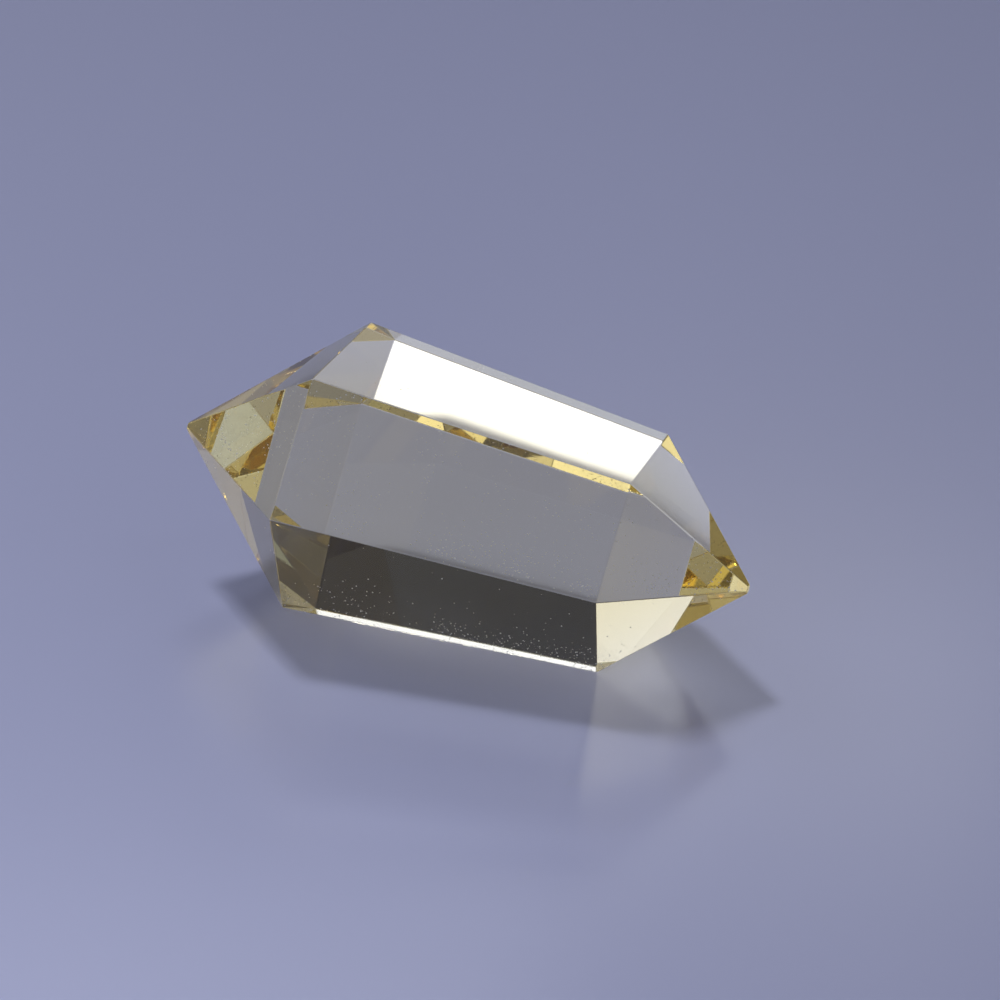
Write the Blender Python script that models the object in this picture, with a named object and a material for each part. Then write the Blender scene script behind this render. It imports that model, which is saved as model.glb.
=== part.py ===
"""A double-terminated citrine point: one piece of clear yellow quartz with six flat body faces, which taper from
a wide end to a narrow one, and a six-faced point at each end. It lies on one of its body faces.

Metres, +Z up. The long axis runs along X, wide end at -X. The surface it lies on is Z = 0, and the origin is on
that surface, under the middle of the stone's outline.
"""

import math
from typing import NamedTuple

import bmesh
import bpy
from mathutils import Matrix, Vector

MM = 0.001

# Driving dimensions of the cut
BODY_LENGTH = 27.1 * MM
WIDE_RADIUS = 12.45 * MM  # from the axis to a corner, where the wide point meets the body
NARROW_RADIUS = 10.08 * MM  # the same where the narrow point meets the body
WIDE_POINT_HEIGHT = 13.0 * MM  # from the body to the sharp apex
NARROW_POINT_HEIGHT = 10.4 * MM
WIDE_APEX_OFFSET = Vector((0.0, -0.07, -0.12)) * MM  # how far off the axis the two apexes were ground
NARROW_APEX_OFFSET = Vector((0.0, -0.08, -0.15)) * MM

# Finish of the edges and tips
TIP_BLUNTING = 0.4 * MM  # how far the sharp apexes are worn back to a small flat
EDGE_POLISH = 0.12 * MM  # how far the polish eats into the faces along every edge
EDGE_STEPS = 2


class BodyFace(NamedTuple):
    """What hand grinding left of a true tapered hexagon, at one face and at the corner between it and the next."""

    turned: float  # degrees, towards the front
    proud_wide: float  # millimetres that the face stands proud at the wide end
    proud_narrow: float  # the same at the narrow end
    late_wide: float = 0.0  # millimetres that the corner at the wide end lies further towards the narrow end
    late_narrow: float = 0.0  # the same for the corner at the narrow end


# The six body faces in order round the axis, from the top one towards the front
BODY_FACES = {
    "top": BodyFace(0.7, -0.17, 0.0),
    "front_upper": BodyFace(1.0, 0.10, 0.03),
    "front_lower": BodyFace(-1.2, -0.02, 0.0),
    "resting": BodyFace(0.1, -0.05, -0.02, late_wide=0.23, late_narrow=0.58),
    "back_lower": BodyFace(-2.7, -0.05, -0.01, late_wide=-0.14, late_narrow=0.28),
    "back_upper": BodyFace(-1.1, 0.08, 0.01),
}
SIDES = len(BODY_FACES)
FACE_STEP = 2 * math.pi / SIDES
TOP_BEARING = math.pi / 2  # bearings are measured from +Y towards +Z

CITRINE_COLOUR = (0.93, 0.86, 0.58, 1.0)
CITRINE_IOR = 1.544
CITRINE_ROUGHNESS = 0.02


def clear_scene():
    for obj in list(bpy.data.objects):
        bpy.data.objects.remove(obj)


def hexagon(x, radius, proud_heights):
    """Corners of the body's outline at x. Corner i lies between face i and face i + 1."""
    lines = []
    for index, (face, proud) in enumerate(zip(BODY_FACES.values(), proud_heights)):
        bearing = TOP_BEARING + index * FACE_STEP + math.radians(face.turned)
        lines.append((bearing, radius * math.cos(FACE_STEP / 2) + proud * MM))
    corners = []
    for index, (bearing, depth) in enumerate(lines):
        next_bearing, next_depth = lines[(index + 1) % SIDES]
        across = math.sin(next_bearing - bearing)
        y = (depth * math.sin(next_bearing) - next_depth * math.sin(bearing)) / across
        z = (next_depth * math.cos(bearing) - depth * math.cos(next_bearing)) / across
        corners.append(Vector((x, y, z)))
    return corners


def body_corners():
    """The six corners at each end. They slide along the body's edges, so that its faces stay flat."""
    faces = BODY_FACES.values()
    wide_outline = hexagon(0.0, WIDE_RADIUS, [face.proud_wide for face in faces])
    narrow_outline = hexagon(BODY_LENGTH, NARROW_RADIUS, [face.proud_narrow for face in faces])
    wide = []
    narrow = []
    for face, start, end in zip(faces, wide_outline, narrow_outline):
        along_edge = (end - start) / BODY_LENGTH
        wide.append(start + along_edge * face.late_wide * MM)
        narrow.append(end + along_edge * face.late_narrow * MM)
    return wide, narrow


def cut_stone():
    """The sharp stone on its own axis: six body faces between the two ends, and a pyramid on each end."""
    stone = bmesh.new()
    wide, narrow = ([stone.verts.new(point) for point in end] for end in body_corners())
    wide_apex = stone.verts.new(Vector((-WIDE_POINT_HEIGHT, 0, 0)) + WIDE_APEX_OFFSET)
    narrow_tip = BODY_LENGTH + NARROW_POINT_HEIGHT
    narrow_apex = stone.verts.new(Vector((narrow_tip, 0, 0)) + NARROW_APEX_OFFSET)
    for index in range(SIDES):
        after = (index + 1) % SIDES
        stone.faces.new((wide[index], narrow[index], narrow[after], wide[after]))
        stone.faces.new((wide[index], wide[after], wide_apex))
        stone.faces.new((narrow[index], narrow_apex, narrow[after]))
    bmesh.ops.recalc_face_normals(stone, faces=stone.faces)
    return stone


def blunt_tip(stone, apex, outward):
    """Cuts the apex off square to the axis and closes the small flat that it leaves."""
    cut = bmesh.ops.bisect_plane(
        stone,
        geom=stone.verts[:] + stone.edges[:] + stone.faces[:],
        plane_co=apex - outward * TIP_BLUNTING,
        plane_no=outward,
        clear_outer=True,
    )
    rim = [part for part in cut["geom_cut"] if isinstance(part, bmesh.types.BMEdge)]
    bmesh.ops.contextual_create(stone, geom=rim)


def lay_down(stone):
    """Turns the stone so that its resting face lies on Z = 0, and centres its outline over the origin."""
    along = Vector((1, 0, 0))
    resting_face = min(stone.faces, key=lambda face: face.normal.z)
    up = -resting_face.normal
    lengthways = (along - along.dot(up) * up).normalized()
    sideways = up.cross(lengthways)
    turn = Matrix((lengthways, sideways, up)).to_4x4()
    bmesh.ops.transform(stone, matrix=turn, verts=stone.verts)
    low = Vector([min(v.co[axis] for v in stone.verts) for axis in range(3)])
    high = Vector([max(v.co[axis] for v in stone.verts) for axis in range(3)])
    shift = Vector((-(low.x + high.x) / 2, -(low.y + high.y) / 2, -low.z))
    bmesh.ops.translate(stone, vec=shift, verts=stone.verts)


def citrine_material():
    material = bpy.data.materials.new("citrine")
    material.use_nodes = True
    shader = material.node_tree.nodes["Principled BSDF"]
    shader.inputs["Base Color"].default_value = CITRINE_COLOUR
    shader.inputs["Roughness"].default_value = CITRINE_ROUGHNESS
    shader.inputs["Metallic"].default_value = 0.0
    shader.inputs["IOR"].default_value = CITRINE_IOR
    shader.inputs["Transmission Weight"].default_value = 1.0
    return material


def citrine_point():
    """The whole stone, with its edges rounded as far as the polish rounds them."""
    stone = cut_stone()
    tips = sorted((v.co.copy() for v in stone.verts), key=lambda point: point.x)
    blunt_tip(stone, tips[0], Vector((-1, 0, 0)))
    blunt_tip(stone, tips[-1], Vector((1, 0, 0)))
    lay_down(stone)
    mesh = bpy.data.meshes.new("citrine_point")
    stone.to_mesh(mesh)
    stone.free()
    mesh.materials.append(citrine_material())
    obj = bpy.data.objects.new("citrine_point", mesh)
    bpy.context.scene.collection.objects.link(obj)
    polish = obj.modifiers.new("edge_polish", "BEVEL")
    polish.width = EDGE_POLISH
    polish.segments = EDGE_STEPS
    polish.limit_method = "NONE"
    return obj


clear_scene()
citrine_point()
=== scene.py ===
# %% [markdown]
# # A double-terminated citrine point
# One clear crystal of pale yellow quartz, cut and polished as a tapering six-sided bar with a six-sided point at
# each end. It lies on one of its long faces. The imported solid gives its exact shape, and this script adds what the
# eye needs: edges that the polish has rounded, a clear yellow body, a handled finish and a little dust.

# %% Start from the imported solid
import math

import bmesh
import bpy
from mathutils import Matrix, Vector


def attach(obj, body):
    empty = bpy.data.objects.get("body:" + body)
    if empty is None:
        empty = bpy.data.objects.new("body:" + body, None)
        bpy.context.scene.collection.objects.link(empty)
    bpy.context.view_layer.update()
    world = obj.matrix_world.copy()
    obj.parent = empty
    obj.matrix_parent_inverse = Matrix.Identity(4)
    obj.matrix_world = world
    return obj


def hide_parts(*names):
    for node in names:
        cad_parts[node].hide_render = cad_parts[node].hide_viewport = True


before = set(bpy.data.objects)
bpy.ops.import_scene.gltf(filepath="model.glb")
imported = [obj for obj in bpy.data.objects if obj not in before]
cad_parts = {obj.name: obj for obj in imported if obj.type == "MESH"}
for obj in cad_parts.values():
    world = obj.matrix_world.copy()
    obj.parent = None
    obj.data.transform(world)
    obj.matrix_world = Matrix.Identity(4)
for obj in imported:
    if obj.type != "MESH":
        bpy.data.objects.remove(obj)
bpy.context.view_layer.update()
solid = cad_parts["citrine_point"]
MM = 0.001

# %% [markdown]
# ## Helpers
# Colours are written as sRGB hex, as a paint or photo program shows them. Blender's shaders want linear light, so
# one function turns them. Another adds a node: its own settings, then values or links for its inputs.


# %% Colour and node helpers
def linear(hex_colour):
    """RGBA in linear light for an sRGB colour such as "E8DFA0"."""
    channels = [int(hex_colour[i : i + 2], 16) / 255 for i in (0, 2, 4)]
    return (*(c / 12.92 if c <= 0.04045 else ((c + 0.055) / 1.055) ** 2.4 for c in channels), 1.0)


def add(tree, kind, inputs=(), **settings):
    """Adds a node. settings are its own properties, and inputs are values or the sockets that feed them."""
    node = tree.nodes.new(kind)
    for name, value in settings.items():
        setattr(node, name, value)
    for name, value in dict(inputs).items():
        if isinstance(value, bpy.types.NodeSocket):
            tree.links.new(value, node.inputs[name])
        else:
            node.inputs[name].default_value = value
    return node


# %% [markdown]
# ## Camera
# The camera stands about 28 cm away, looks 25 degrees down on the stone from a little to its right, and is tipped
# clockwise by almost 5 degrees, so the table seems to fall to the right. Its side and up steps frame the stone.

# %% Camera at the photograph's angle
CAMERA_TURN = math.radians(17.18)
CAMERA_RISE = math.radians(25.39)
CAMERA_ROLL = math.radians(4.68)
CAMERA_DISTANCE = 284.3 * MM
CAMERA_SIDESTEP = 3.45 * MM
CAMERA_UPSTEP = 9.54 * MM
CAMERA_AIM = Vector((0.58, -0.79, 0.0)) * MM
LENS_MM = 122.3
SENSOR_MM = 36.0


def from_camera(turn, rise):
    """Unit vector that points away from the camera, turned right and raised by these degrees."""
    azimuth = math.radians(turn) - CAMERA_TURN
    height = math.radians(rise)
    flat = math.cos(height)
    return Vector((math.sin(azimuth) * flat, math.cos(azimuth) * flat, math.sin(height)))


back = -from_camera(0, -math.degrees(CAMERA_RISE))
level = Vector((0, 0, 1)).cross(back).normalized()
upright = back.cross(level)
right = math.cos(CAMERA_ROLL) * level + math.sin(CAMERA_ROLL) * upright
up = back.cross(right)
camera = bpy.data.objects.new("camera", bpy.data.cameras.new("camera"))
camera.data.lens = LENS_MM
camera.data.sensor_width = SENSOR_MM
camera.matrix_world = Matrix((right, up, back)).transposed().to_4x4()
camera.location = CAMERA_AIM + back * CAMERA_DISTANCE + right * CAMERA_SIDESTEP + up * CAMERA_UPSTEP
bpy.context.scene.collection.objects.link(camera)
bpy.context.scene.camera = camera
print("camera at, in mm:", [round(c / MM, 1) for c in camera.location])

# %% [markdown]
# ## The ground stone
# A lapidary grinds a point one flat at a time, so it is made that way here: a block is cut by the plane of every
# facet of the solid. That gives back the sharp stone, from which finer edges can be made than the solid has.

# %% Cut a block with the solid's own facets
BLOCK_SIZE = 200 * MM
SMALLEST_FACET = 20 * MM**2
TIP_FACING = 0.99  # the two small flats at the tips face along the stone
SAME_POINT = 1e-7
SAME_FACET = math.radians(0.2)  # triangles that turn by less than this belong to one flat
SAME_CORNER = 0.02 * MM


def facet_planes(node):
    """(point, outward normal) of every flat that was ground, read from the solid's triangles."""
    shape = bmesh.new()
    shape.from_mesh(node.data)
    bmesh.ops.remove_doubles(shape, verts=shape.verts, dist=SAME_POINT)
    bmesh.ops.dissolve_limit(shape, angle_limit=SAME_FACET, verts=shape.verts, edges=shape.edges)
    planes = []
    for face in shape.faces:
        if face.calc_area() > SMALLEST_FACET or abs(face.normal.x) > TIP_FACING:
            planes.append((face.calc_center_median(), face.normal.copy()))
    shape.free()
    return planes


def cut_block(planes):
    """The convex stone that is left of a block when each plane has cut away what lies outside it."""
    block = bmesh.new()
    bmesh.ops.create_cube(block, size=BLOCK_SIZE)
    for point, outward in planes:
        geometry = block.verts[:] + block.edges[:] + block.faces[:]
        cut = bmesh.ops.bisect_plane(block, geom=geometry, plane_co=point, plane_no=outward, clear_outer=True)
        rim = [part for part in cut["geom_cut"] if isinstance(part, bmesh.types.BMEdge)]
        bmesh.ops.contextual_create(block, geom=rim)
    bmesh.ops.remove_doubles(block, verts=block.verts, dist=SAME_CORNER)
    bmesh.ops.recalc_face_normals(block, faces=block.faces)
    return block


def new_object(name, mesh):
    obj = bpy.data.objects.new(name, mesh)
    bpy.context.scene.collection.objects.link(obj)
    return obj


planes = facet_planes(solid)
block = cut_block(planes)
sharp_mesh = bpy.data.meshes.new("sharp_stone")
block.to_mesh(sharp_mesh)
block.free()
print(len(planes), "facets,", len(sharp_mesh.edges), "edges,", len(sharp_mesh.vertices), "corners")

# %% [markdown]
# ## Rounded edges
# Polishing on felt takes the sharpness off every edge, and the narrow rounds that it leaves catch the light as thin
# lines. A Bevel modifier makes them. Its hardened normals keep the facets dead flat, which matters more in a clear
# stone than in any other: the least bend in a facet would bend everything that is seen through it.

# %% Round the edges as far as the polish does
EDGE_POLISH = 0.08 * MM
EDGE_STEPS = 4

sharp_mesh.shade_smooth()
stone = new_object("citrine_stone", sharp_mesh)
polish = stone.modifiers.new("edge_polish", "BEVEL")
polish.width = EDGE_POLISH
polish.segments = EDGE_STEPS
polish.limit_method = "NONE"
polish.harden_normals = True


def bake(obj, name):
    """The object's evaluated shape as a plain mesh, with its modifiers gone."""
    mesh = bpy.data.meshes.new_from_object(obj.evaluated_get(bpy.context.evaluated_depsgraph_get()))
    mesh.name = name
    for index in reversed(range(len(mesh.materials))):
        if mesh.materials[index] is None:
            mesh.materials.pop(index=index)
    obj.modifiers.clear()
    obj.data = mesh


bake(stone, "citrine_stone")
print("rounded stone:", len(stone.data.polygons), "faces")

# %% [markdown]
# ## Citrine
# Citrine is quartz that a trace of iron has tinted. Its index of refraction is 1.544, and its yellow is in the
# body and not on the surface, so short ways through the stone look almost colourless and long ones gold. That is
# what absorption in the volume does: the deeper the light goes, the more blue it loses. The surface was polished
# with a fine oxide on felt, so it is a mirror, apart from smears where it was held and a few hairlines.

# %% Citrine material
CITRINE_IOR = 1.544
ABSORPTION_PER_METRE = 22.0
CITRINE_TINT = (0.935, 0.79, 0.10, 1.0)  # share of each colour that the absorption spares, in linear light
SMEAR_SIZE = 5 * MM
SMEAR_LEVELS = (0.5, 0.75)  # the noise where a smear begins, and where it is thickest
SMEAR_ROUGHNESS = 0.035
HAIRLINE_SPACING = 0.6 * MM  # real ones lie closer, and are drawn this far apart so that they show
HAIRLINE_LENGTH = 12 * MM
HAIRLINE_LEVELS = (0.64, 0.7)  # only the crests of the noise are scratches
HAIRLINE_DEPTH = 0.0002 * MM


def citrine_material():
    """Polished quartz: a clear mirror-smooth surface over a body that takes the blue out of the light."""
    material = bpy.data.materials.new("polished_citrine")
    material.use_nodes = True
    tree = material.node_tree
    shader = tree.nodes["Principled BSDF"]
    shader.inputs["Base Color"].default_value = (1.0, 1.0, 1.0, 1.0)
    shader.inputs["IOR"].default_value = CITRINE_IOR
    shader.inputs["Transmission Weight"].default_value = 1.0
    place = add(tree, "ShaderNodeTexCoord").outputs["Object"]
    # Smears: soft patches of skin grease, which blur the mirror a little
    smears = {"Vector": place, "Scale": 1 / SMEAR_SIZE, "Detail": 3.0, "Distortion": 1.2}
    smears = add(tree, "ShaderNodeTexNoise", smears).outputs["Fac"]
    thin, thick = SMEAR_LEVELS
    blur = {"Value": smears, "From Min": thin, "From Max": thick, "To Min": 0.0, "To Max": SMEAR_ROUGHNESS}
    tree.links.new(add(tree, "ShaderNodeMapRange", blur).outputs["Result"], shader.inputs["Roughness"])
    # Hairlines: noise drawn out along the stone, so fine across it that only the crests show
    fineness = (1 / HAIRLINE_LENGTH, 1 / HAIRLINE_SPACING, 1 / HAIRLINE_SPACING)
    drawn_out = add(tree, "ShaderNodeMapping", {"Vector": place, "Scale": fineness}).outputs["Vector"]
    lines = add(tree, "ShaderNodeTexNoise", {"Vector": drawn_out, "Scale": 1.0, "Detail": 1.0}).outputs["Fac"]
    low, high = HAIRLINE_LEVELS
    crests = {"Value": lines, "From Min": low, "From Max": high}
    crests = add(tree, "ShaderNodeMapRange", crests).outputs["Result"]
    scratched = add(tree, "ShaderNodeBump", {"Height": crests, "Distance": HAIRLINE_DEPTH}, invert=True)
    tree.links.new(scratched.outputs["Normal"], shader.inputs["Normal"])
    body = add(tree, "ShaderNodeVolumeAbsorption")
    body.inputs["Color"].default_value = CITRINE_TINT
    body.inputs["Density"].default_value = ABSORPTION_PER_METRE
    tree.links.new(body.outputs["Volume"], tree.nodes["Material Output"].inputs["Volume"])
    return material


stone.data.materials.append(citrine_material())
print("absorption:", ABSORPTION_PER_METRE, "per metre, index of refraction:", CITRINE_IOR)

# %% [markdown]
# ## Dust
# Polished quartz charges up when it is wiped, so fine dust clings to it. Close up it shows as pale specks. Most lie
# low on each facet, where they slid down to, and one line of them crosses the upper front facet, where a cloth
# stopped. They could be painted as bright dots, but real grains catch the light and keep their places in every view.
# So points are scattered evenly over the stone, each is kept or dropped by a share that follows those rules and a
# patchy noise, and a grain with few faces is set on each that is kept.

# %% Where the dust lies
SPECKS_PER_SQUARE_METRE = 2.6e7  # where it lies thickest
GRAIN_RADIUS = 0.08 * MM
GRAIN_SHAPE = (1.0, 0.75, 0.7)
SMALLEST_DRAW = 0.4  # a grain's size is a random number between this and 1, raised to the next one
FINENESS = 2.5
GRAIN_FACES = 20
GRAIN_SEED = 7
PATCH_SIZE = 5 * MM
PATCH_LEVELS = (0.36, 0.62)  # the noise where a place is bare, and where it is full
SLIDE_HEIGHT = 1.5 * MM  # how far above a facet's lower edge most of the dust lies
RIDGE_HEIGHT = 10.53 * MM  # of the edge between the two front facets, at the middle of the stone
RIDGE_SLOPE = -0.106
FRONT_FACET = -0.5  # a facet is one of the two front ones where its normal's y is below this
FRONT_SIDE = -0.2  # and it belongs to the front side below this
LYING_FLAT = 0.3  # share that stays where it fell, on a facet that looks straight up
CLINGING = 0.01  # share that clings to a facet that looks down
WIPED_BACK = 0.06  # share that is left on the back
WIPE_MARK_AT = -0.23 * MM  # along the stone
WIPE_MARK_WIDTH = 0.16 * MM
WIPE_MARK_TOP = 0.4  # how much of the mark is left far above the ridge


# %% Node group that scatters the dust
def scatter_tree():
    tree = bpy.data.node_groups.new("settled_dust", "GeometryNodeTree")
    sockets = tree.interface
    sockets.new_socket("Stone", in_out="INPUT", socket_type="NodeSocketGeometry")
    sizes = ("Specks per square metre", "Largest radius", "Patch size", "Slide height", "Mark at", "Mark width")
    for name in sizes:
        sockets.new_socket(name, in_out="INPUT", socket_type="NodeSocketFloat")
    sockets.new_socket("Seed", in_out="INPUT", socket_type="NodeSocketInt")
    sockets.new_socket("Finish", in_out="INPUT", socket_type="NodeSocketMaterial")
    sockets.new_socket("Dust", in_out="OUTPUT", socket_type="NodeSocketGeometry")
    given = add(tree, "NodeGroupInput").outputs

    def calculate(operation, *values):
        return add(tree, "ShaderNodeMath", dict(enumerate(values)), operation=operation).outputs[0]

    where = {"Mesh": given["Stone"], "Density": given["Specks per square metre"], "Seed": given["Seed"]}
    spots = add(tree, "GeometryNodeDistributePointsOnFaces", where, distribute_method="RANDOM")
    place = add(tree, "GeometryNodeInputPosition").outputs["Position"]
    along, _, height = add(tree, "ShaderNodeSeparateXYZ", {0: place}).outputs
    _, front, rise = add(tree, "ShaderNodeSeparateXYZ", {0: spots.outputs["Normal"]}).outputs
    # Patches: noise in real size, sharpened, so that some places are nearly bare
    finer = calculate("DIVIDE", 1.0, given["Patch size"])
    noise = add(tree, "ShaderNodeTexNoise", {"Vector": place, "Scale": finer, "Detail": 2.0}).outputs["Fac"]
    bare, full = PATCH_LEVELS
    patches = {"Value": noise, "From Min": bare, "From Max": full}
    patches = add(tree, "ShaderNodeMapRange", patches).outputs["Result"]
    # Dust slides down a facet, so it thins out with the height above the facet's lower edge
    ridge = calculate("MULTIPLY_ADD", along, RIDGE_SLOPE, RIDGE_HEIGHT)
    above_ridge = calculate("GREATER_THAN", height, ridge)
    low = calculate("SUBTRACT", height, calculate("MULTIPLY", above_ridge, ridge))
    gathered = calculate("DIVIDE", calculate("MULTIPLY", low, -1.0), given["Slide height"])
    gathered = calculate("EXPONENT", gathered)
    # Some lies all over a facet that looks up, next to none on one that looks down
    lying = calculate("MAXIMUM", calculate("MULTIPLY", rise, LYING_FLAT), CLINGING)
    share = calculate("MULTIPLY", patches, calculate("ADD", gathered, lying))
    # The mark where a cloth stopped, across the upper front facet
    off = calculate("DIVIDE", calculate("SUBTRACT", along, given["Mark at"]), given["Mark width"])
    mark = calculate("EXPONENT", calculate("MULTIPLY", calculate("MULTIPLY", off, off), -1.0))
    upper_front = calculate("LESS_THAN", front, FRONT_FACET)
    upper_front = calculate("MULTIPLY", upper_front, calculate("GREATER_THAN", rise, 0.0))
    fade = calculate("MULTIPLY_ADD", gathered, 1 - WIPE_MARK_TOP, WIPE_MARK_TOP)
    mark = calculate("MULTIPLY", calculate("MULTIPLY", mark, upper_front), fade)
    # The front is the dusty side. The back was wiped, and no grain sits so low that it would reach into the table
    dusty = calculate("MAXIMUM", calculate("LESS_THAN", front, FRONT_SIDE), WIPED_BACK)
    exposed = calculate("MULTIPLY", calculate("GREATER_THAN", height, given["Largest radius"]), dusty)
    share = calculate("MULTIPLY", calculate("ADD", share, mark), exposed)
    lot = add(tree, "FunctionNodeRandomValue", {"Seed": given["Seed"]}).outputs[1]
    # Most grains are far smaller than the largest
    draw = {"Min": SMALLEST_DRAW, "Max": 1.0, "Seed": calculate("ADD", given["Seed"], 1.0)}
    draw = add(tree, "FunctionNodeRandomValue", draw).outputs[1]
    radius = calculate("MULTIPLY", calculate("POWER", draw, FINENESS), given["Largest radius"])
    grain = add(tree, "GeometryNodeMeshIcoSphere", {"Radius": 1.0, "Subdivisions": 1}).outputs["Mesh"]
    grain = add(tree, "GeometryNodeTransform", {"Geometry": grain, "Scale": GRAIN_SHAPE}).outputs["Geometry"]
    on = {
        "Points": spots.outputs["Points"],
        "Selection": calculate("LESS_THAN", lot, share),
        "Instance": grain,
        "Rotation": spots.outputs["Rotation"],
        "Scale": radius,
    }
    grains = add(tree, "GeometryNodeInstanceOnPoints", on).outputs["Instances"]
    real = add(tree, "GeometryNodeRealizeInstances", {"Geometry": grains}).outputs["Geometry"]
    finished = add(tree, "GeometryNodeSetMaterial", {"Geometry": real, "Material": given["Finish"]})
    add(tree, "NodeGroupOutput", {"Dust": finished.outputs["Geometry"]})
    return tree


# %% Dust material
DUST_TINTS = ("DAD5C9", "F6F8FC")
TINT_CHANGE = 0.4 * MM  # wider than a grain, so that the tone changes from grain to grain
DUST_ROUGHNESS = 0.9


def dust_material():
    """Lint and skin dust: matte, pale grey, a little warmer or cooler from grain to grain."""
    material = bpy.data.materials.new("pale_lint_dust")
    material.use_nodes = True
    tree = material.node_tree
    place = add(tree, "ShaderNodeTexCoord").outputs["Object"]
    noise = add(tree, "ShaderNodeTexNoise", {"Vector": place, "Scale": 1 / TINT_CHANGE}).outputs["Fac"]
    warm, cool = DUST_TINTS
    # Inputs 6 and 7 of a Mix node are its two colours, and output 2 is the mixed one
    warm_to_cool = {0: noise, 6: linear(warm), 7: linear(cool)}
    colour = add(tree, "ShaderNodeMix", warm_to_cool, data_type="RGBA").outputs[2]
    shader = tree.nodes["Principled BSDF"]
    tree.links.new(colour, shader.inputs["Base Color"])
    shader.inputs["Roughness"].default_value = DUST_ROUGHNESS
    return material


# %% Scatter the dust
def set_input(modifier, name, value):
    """Sets a node group's input through its socket's identifier, found by its name."""
    for socket in modifier.node_group.interface.items_tree:
        if socket.name == name and socket.in_out == "INPUT":
            modifier[socket.identifier] = value


dust = new_object("settled_dust", stone.data.copy())
scatter = dust.modifiers.new("scatter", "NODES")
scatter.node_group = scatter_tree()
set_input(scatter, "Specks per square metre", SPECKS_PER_SQUARE_METRE)
set_input(scatter, "Largest radius", GRAIN_RADIUS)
set_input(scatter, "Patch size", PATCH_SIZE)
set_input(scatter, "Slide height", SLIDE_HEIGHT)
set_input(scatter, "Mark at", WIPE_MARK_AT)
set_input(scatter, "Mark width", WIPE_MARK_WIDTH)
set_input(scatter, "Seed", GRAIN_SEED)
set_input(scatter, "Finish", dust_material())
bake(dust, "settled_dust")
print("dust grains:", len(dust.data.polygons) // GRAIN_FACES)

# %% [markdown]
# ## Floor
# Most of what a clear stone shows is the table seen through it. The table is pale, with a satin lacquer: its own
# tone becomes the grey of the front facets, and the key light in its gloss is the white that fills the top facet.
# It could be a plain white sheet, but then the front facets would turn yellow, so it is tinted against the stone's
# colour. Polished stone never quite touches a table, and the thin gap keeps its lower face a mirror.

# %% Floor
FLOOR_GAP = 0.02 * MM
FLOOR_SIZE = 3000 * MM
SATIN_LACQUER = {
    "Base Color": linear("C3C9F2"),
    "Roughness": 0.5,
    "Metallic": 0.35,  # a pearly pigment, which mirrors part of the light and spreads the rest
    "Coat Weight": 1.0,
    "Coat Roughness": 0.2,
    "Coat IOR": 1.6,
}

floor_mesh = bpy.data.meshes.new("table")
flat = bmesh.new()
bmesh.ops.create_grid(flat, x_segments=1, y_segments=1, size=FLOOR_SIZE / 2)
bmesh.ops.translate(flat, vec=(0, 0, -FLOOR_GAP), verts=flat.verts)
flat.to_mesh(floor_mesh)
flat.free()
floor = new_object("table", floor_mesh)
table = bpy.data.materials.new("pale_satin_table")
table.use_nodes = True
for name, value in SATIN_LACQUER.items():
    table.node_tree.nodes["Principled BSDF"].inputs[name].default_value = value
floor_mesh.materials.append(table)
print("table:", round(FLOOR_SIZE / MM), "mm wide,", round(FLOOR_GAP / MM, 3), "mm below the stone")

# %% [markdown]
# ## Light
# A bright softbox, high behind the stone and to its left, throws the shadow towards the camera. Three weak ones show
# in one place each: in the left end of the front, in the upper back, and as the white line along the front foot
# edge. Rays that enter the two points bend many times before they leave the stone, and end almost anywhere in the
# room. So the room is a dome with soft glows, each where one part of the stone looks: hard-edged lamps there would
# cut the points into black and white splinters.

# %% Softboxes
LIGHT_DISTANCE = 850 * MM
SOFTBOXES = (
    ("key", -33, 58, (120 * MM, 120 * MM), 38.0, "FFFFFF"),
    ("back_left", -34, 25, (220 * MM, 220 * MM), 1.0, "FFFFFF"),
    ("back_high", 7, 28.5, (180 * MM, 80 * MM), 1.2, "FFFFFF"),
    ("edge_line", -6, 37, (200 * MM, 60 * MM), 1.75, "EBEFFF"),
)


def softbox(name, turn, rise, size, radiance, colour):
    """A soft light that faces the stone. Turn and rise say where it stands, as from_camera counts them."""
    width, height = size
    light = bpy.data.lights.new(name, "AREA")
    light.shape = "RECTANGLE"
    light.size = width
    light.size_y = height
    light.energy = radiance * math.pi * width * height
    light.color = linear(colour)[:3]
    lamp = new_object(name, light)
    towards = from_camera(turn, rise)
    lamp.location = towards * LIGHT_DISTANCE
    lamp.rotation_euler = towards.to_track_quat("Z", "Y").to_euler()


for box in SOFTBOXES:
    softbox(*box)
print(len(SOFTBOXES), "softboxes,", round(LIGHT_DISTANCE / MM), "mm away")

# %% Studio dome
ROOM = (0.048, 0.041, 0.035)  # dim and a little warm
GLOWS = (
    (8, 14, 9, -0.036, "FFEEDD"),  # a dark place straight behind, which the lower front facet shows
    (-85, 20, 11, 0.8, "FFFFFF"),  # the tip of the narrow point
    (-58, 34, 45, 1.8, "EEF4FF"),  # the upper front facet of the narrow point, by the table's gloss
    (-71, 47, 100, 0.45, "FFFFFF"),  # the gold band under the top facet, its right end
    (-73, 72, 110, 0.8, "FFFFFF"),  # right of its middle
    (48, 23, 110, 1.0, "FFFFFF"),  # its middle
    (88, 60, 110, 1.2, "FFFFFF"),  # left of its middle
    (28, 40, 30, 0.3, "FFFFFF"),  # the small gold triangle at the front corner
    (-140, 12, 16, 2.2, "B4C8FF"),  # the front facet of the wide point
    (-160, 40, 40, 0.35, "FFFFFF"),  # its lower corner
    (-176, 13, 30, 0.7, "E4EAFF"),  # the lower front facet of the narrow point
    (140, 20, 20, 0.5, "FFFFFF"),  # its middle
    (96, 20, 12, 0.45, "FFFFFF"),  # the underside of the narrow point
)


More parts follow.
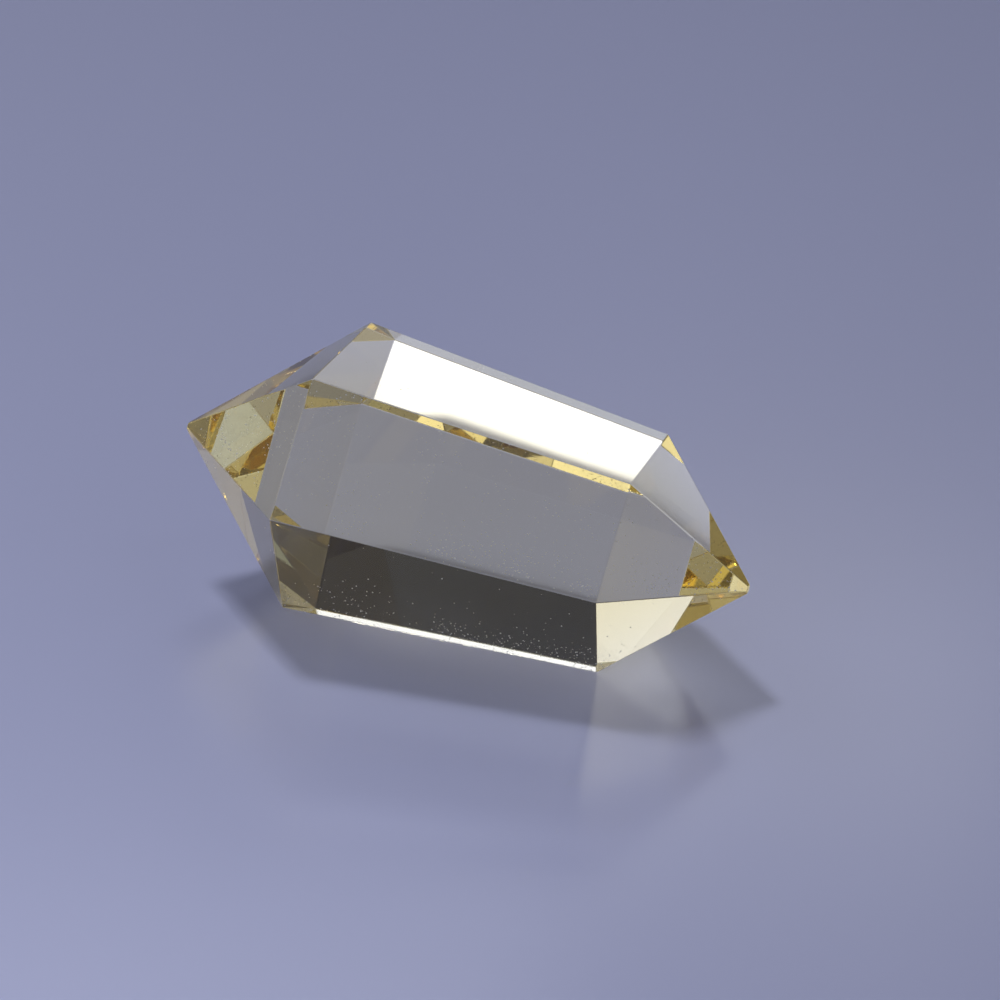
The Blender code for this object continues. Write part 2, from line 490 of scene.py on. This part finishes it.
def studio_dome(ambient, glows):
    """A dim room with soft glows. A glow is its turn and rise, how tight it is, its radiance and its colour."""
    world = bpy.data.worlds.new("studio_dome")
    world.use_nodes = True
    tree = world.node_tree
    direction = add(tree, "ShaderNodeTexCoord").outputs["Generated"]
    total = add(tree, "ShaderNodeCombineXYZ", dict(enumerate(ambient))).outputs[0]
    for turn, rise, tightness, radiance, colour in glows:
        towards = {0: direction, 1: from_camera(turn, rise)}
        along = add(tree, "ShaderNodeVectorMath", towards, operation="DOT_PRODUCT").outputs["Value"]
        # A glow falls off as exp(tightness * (along - 1)), so it is full straight at its middle
        fall = {0: along, 1: tightness, 2: -tightness}
        fall = add(tree, "ShaderNodeMath", fall, operation="MULTIPLY_ADD").outputs[0]
        glow = add(tree, "ShaderNodeMath", {0: fall}, operation="EXPONENT").outputs[0]
        light = {0: [c * radiance for c in linear(colour)[:3]], "Scale": glow}
        light = add(tree, "ShaderNodeVectorMath", light, operation="SCALE").outputs[0]
        total = add(tree, "ShaderNodeVectorMath", {0: total, 1: light}, operation="ADD").outputs[0]
    tree.links.new(total, tree.nodes["Background"].inputs["Color"])
    return world


bpy.context.scene.world = studio_dome(ROOM, GLOWS)
print(len(GLOWS), "glows in the dome")

# %% [markdown]
# ## Ways through the stone
# Light can be thrown back inside the points a dozen times before it gets out. With the usual few bounces those ways
# would end early and leave black facets, so more are allowed, and bright ways aren't clamped. The Standard view
# shows white where the light is white, as the camera did in the top facet.

# %% Light may cross the stone many times
MOST_BOUNCES = 32
MOST_CROSSINGS = 24

cycles = bpy.context.scene.cycles
cycles.max_bounces = MOST_BOUNCES
cycles.transmission_bounces = MOST_CROSSINGS
cycles.glossy_bounces = MOST_CROSSINGS
cycles.sample_clamp_indirect = 0.0
bpy.context.scene.view_settings.view_transform = "Standard"
print("up to", MOST_CROSSINGS, "crossings")

# %% [markdown]
# ## Hand-over
# Both pieces ride on the one body, and the stone stands for the imported solid, which is hidden.

# %% Hand the pieces over
for piece in (stone, dust):
    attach(piece, "root")
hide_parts("citrine_point")
